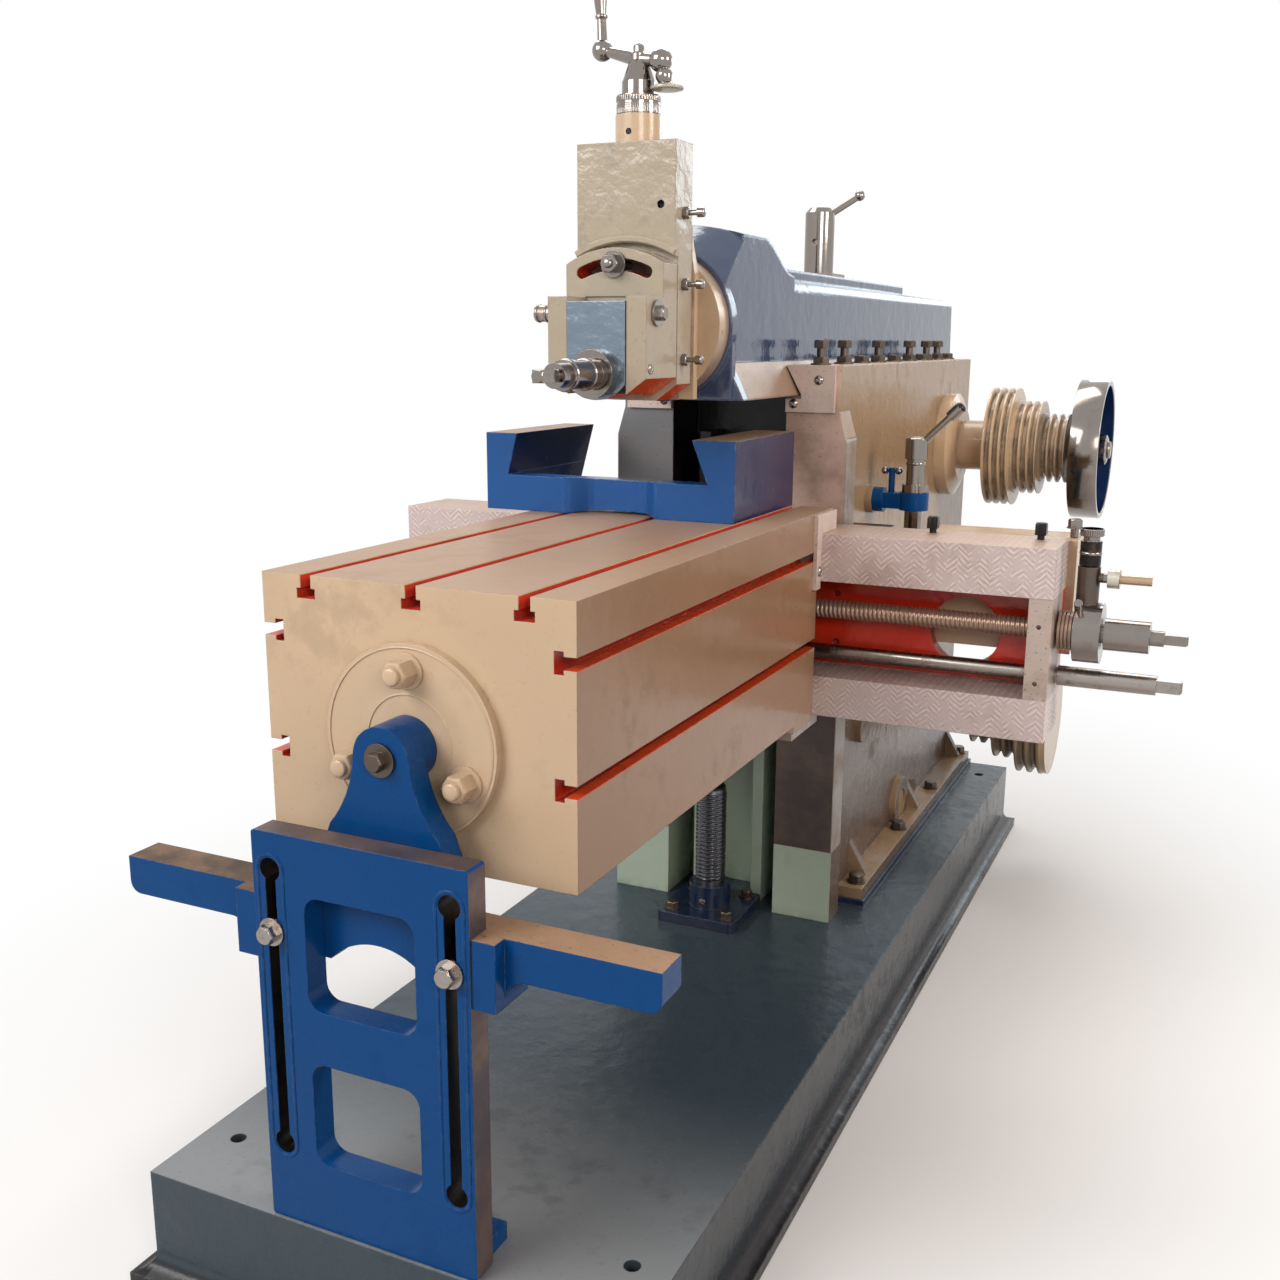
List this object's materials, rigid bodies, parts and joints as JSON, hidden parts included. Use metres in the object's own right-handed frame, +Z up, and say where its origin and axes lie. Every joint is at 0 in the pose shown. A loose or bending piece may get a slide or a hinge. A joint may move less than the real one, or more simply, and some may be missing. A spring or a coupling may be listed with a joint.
{
  "type": "metal shaping machine",
  "caption": "Crank shaper for planing metal, with hollow base and column, sliding ram with swivelling tool head, cross rail, box table and step pulley drive.",
  "frame": {"origin": "on the floor, on the centre plane, below the front ways of the column", "axes": "+X to the right seen from the front, +Y to the rear along the ram, +Z up"},
  "size_m": [1.449, 2.538, 1.8086],
  "materials": {
    "base_blue": "gloss paint",
    "cream_paint": "gloss paint",
    "dark_steel": "blackened",
    "bare_iron": "ground and scraped",
    "blue_paint": "gloss paint",
    "bright_steel": "turned and polished",
    "chrome": "polished",
    "gear_steel": "machined, oiled",
    "motor_paint": "satin paint"
  },
  "bodies": {
    "frame": {"base_casting": "base_blue", "column_casting": "cream_paint", "frame_bolts": "dark_steel", "ram_gib_strips": "bare_iron", "way_wiper_plates": "bare_iron", "drive_bearing": "cream_paint", "support_frame": "blue_paint", "screw_foot": "blue_paint", "elevating_sleeve": "bright_steel", "lever_brackets": "blue_paint", "motor": "motor_paint", "mechanism_pins": "gear_steel"},
    "cross_rail": {"cross_rail_casting": "bare_iron", "rail_end_blocks": "bare_iron", "feed_box": "cream_paint", "rail_keepers": "dark_steel", "rail_clamp_bolts": "dark_steel"},
    "elevating_screw": {"elevating_screw": "bright_steel"},
    "elevating_shaft": {"elevating_shaft": "bright_steel"},
    "cross_feed_screw": {"cross_feed_screw": "bright_steel"},
    "feed_pawl": {"feed_pawl_arm": "bright_steel"},
    "feed_plunger": {"feed_plunger": "dark_steel"},
    "table": {"table_casting": "cream_paint", "table_keeper": "bare_iron", "table_wipers": "bare_iron", "front_flange": "cream_paint", "flange_nuts": "cream_paint", "feed_nut": "gear_steel", "support_bracket": "blue_paint", "pivot_bolt": "bright_steel", "dovetail_casting": "blue_paint"},
    "support_beam": {"support_beam": "blue_paint", "beam_bolts": "bright_steel"},
    "ram": {"ram_casting": "blue_paint", "ram_clamp_plate": "chrome", "ram_link": "gear_steel"},
    "ram_clamp": {"ram_clamp_lever": "chrome"},
    "swivel": {"swivel_head": "cream_paint"},
    "tool_slide": {"tool_slide": "cream_paint", "head_gib": "bare_iron", "gib_screws": "bright_steel", "feed_bearing": "cream_paint", "apron_bolt": "bright_steel"},
    "downfeed": {"downfeed_screw": "bright_steel", "graduated_collar": "bright_steel", "ball_crank": "chrome"},
    "clapper_box": {"clapper_box": "cream_paint", "hinge_pin": "bright_steel"},
    "clapper": {"clapper_block": "bright_steel", "tool_post": "bright_steel"},
    "tool_post_screw": {"tool_post_screw": "bright_steel"},
    "drive": {"drive_shaft": "gear_steel", "cone_pulley": "cream_paint", "handwheel": "bright_steel"},
    "bull_gear": {"bull_gear": "gear_steel", "crank_block": "gear_steel"},
    "rocker": {"rocker_arm": "gear_steel"},
    "motor_pulley": {"motor_pulley": "dark_steel"},
    "shift_lever": {"shift_lever": "bright_steel"},
    "clamp_screw": {"clamp_screw": "bright_steel"}
  },
  "joints": [
    {"name": "rail_lift", "type": "slide", "parent": "frame", "child": "cross_rail", "axis": [0, 0, 1], "range_m": [-0.23, 0.04]},
    {"name": "elevating_screw_turn", "type": "hinge", "parent": "cross_rail", "child": "elevating_screw", "pos_m": [0, -0.05, 0.6], "axis": [0, 0, 1], "range_deg": [-1445, 8286]},
    {"name": "elevating_shaft_turn", "type": "hinge", "parent": "cross_rail", "child": "elevating_shaft", "pos_m": [0.6, -0.05, 0.718], "axis": [1, 0, 0], "range_deg": [-1445, 8286]},
    {"name": "beam_slide", "type": "slide", "parent": "frame", "child": "support_beam", "axis": [0, 0, 1], "range_m": [-0.231, 0.041]},
    {"name": "table_cross", "type": "slide", "parent": "cross_rail", "child": "table", "axis": [1, 0, 0], "range_m": [-0.26, 0.26]},
    {"name": "cross_feed_turn", "type": "hinge", "parent": "cross_rail", "child": "cross_feed_screw", "pos_m": [0.7, -0.072, 0.801], "axis": [1, 0, 0], "range_deg": [-11705, 11705]},
    {"name": "pawl_swing", "type": "hinge", "parent": "cross_rail", "child": "feed_pawl", "pos_m": [0.673, -0.072, 0.801], "axis": [1, 0, 0], "range_deg": [-30, 30]},
    {"name": "plunger_pull", "type": "slide", "parent": "feed_pawl", "child": "feed_plunger", "axis": [0, 0, 1], "range_m": [0, 0.008], "stiffness_N_per_m": 2000, "springref_m": -0.005},
    {"name": "ram_stroke", "type": "slide", "parent": "frame", "child": "ram", "axis": [0, 1, 0], "range_m": [-0.45, 0.22]},
    {"name": "rocker_swing", "type": "hinge", "parent": "frame", "child": "rocker", "pos_m": [0, 0.56, 0.235], "axis": [1, 0, 0], "range_deg": [-14.4, 29.2]},
    {"name": "ram_clamp_turn", "type": "hinge", "parent": "ram", "child": "ram_clamp", "pos_m": [0, 0.508, 1.45], "axis": [0, 0, 1], "range_deg": [-100, 20]},
    {"name": "head_swivel", "type": "hinge", "parent": "ram", "child": "swivel", "pos_m": [0, -0.3, 1.29], "axis": [0, 1, 0], "range_deg": [-60, 60]},
    {"name": "down_feed", "type": "slide", "parent": "swivel", "child": "tool_slide", "axis": [0, 0, 1], "range_m": [-0.16, 0.02]},
    {"name": "crank_turn", "type": "hinge", "parent": "tool_slide", "child": "downfeed", "pos_m": [0, -0.397, 1.65], "axis": [0, 0, 1], "range_deg": [-9605, 1205]},
    {"name": "clapper_box_tilt", "type": "hinge", "parent": "tool_slide", "child": "clapper_box", "pos_m": [0, -0.441, 1.25], "axis": [0, 1, 0], "range_deg": [-15, 15]},
    {"name": "clapper_lift", "type": "hinge", "parent": "clapper_box", "child": "clapper", "pos_m": [0, -0.505, 1.306], "axis": [-1, 0, 0], "range_deg": [0, 45]},
    {"name": "tool_screw_turn", "type": "hinge", "parent": "clapper", "child": "tool_post_screw", "pos_m": [0, -0.65, 1.218], "axis": [0, 1, 0], "range_deg": [-180, 180]},
    {"name": "drive_turn", "type": "hinge", "parent": "frame", "child": "drive", "pos_m": [0.4, 0.87, 1.03], "axis": [1, 0, 0], "continuous": true},
    {"name": "bull_gear_turn", "type": "hinge", "parent": "frame", "child": "bull_gear", "pos_m": [0.1, 0.56, 0.79336], "axis": [1, 0, 0], "continuous": true},
    {"name": "motor_turn", "type": "hinge", "parent": "frame", "child": "motor_pulley", "pos_m": [0.4, 0.87, 0.388], "axis": [1, 0, 0], "continuous": true},
    {"name": "shift_lever_turn", "type": "hinge", "parent": "frame", "child": "shift_lever", "pos_m": [0.303, 0.21, 0.95], "axis": [0, 0, 1], "range_deg": [-30, 30]},
    {"name": "clamp_screw_turn", "type": "hinge", "parent": "frame", "child": "clamp_screw", "pos_m": [0.258, 0.21, 0.98], "axis": [0, 0, 1], "range_deg": [-180, 180]}
  ],
  "couplings": [
    {"joint": "elevating_screw_turn", "follows": "rail_lift", "rad_per_m": -628.32},
    {"joint": "elevating_shaft_turn", "follows": "rail_lift", "rad_per_m": -628.32},
    {"joint": "beam_slide", "follows": "rail_lift", "ratio": 1},
    {"joint": "cross_feed_turn", "follows": "table_cross", "rad_per_m": 785.4},
    {"joint": "rocker_swing", "follows": "ram_stroke", "rad_per_m": -1.12},
    {"joint": "crank_turn", "follows": "down_feed", "rad_per_m": 1047.2},
    {"joint": "bull_gear_turn", "follows": "drive_turn", "ratio": -0.25806}
  ]
}
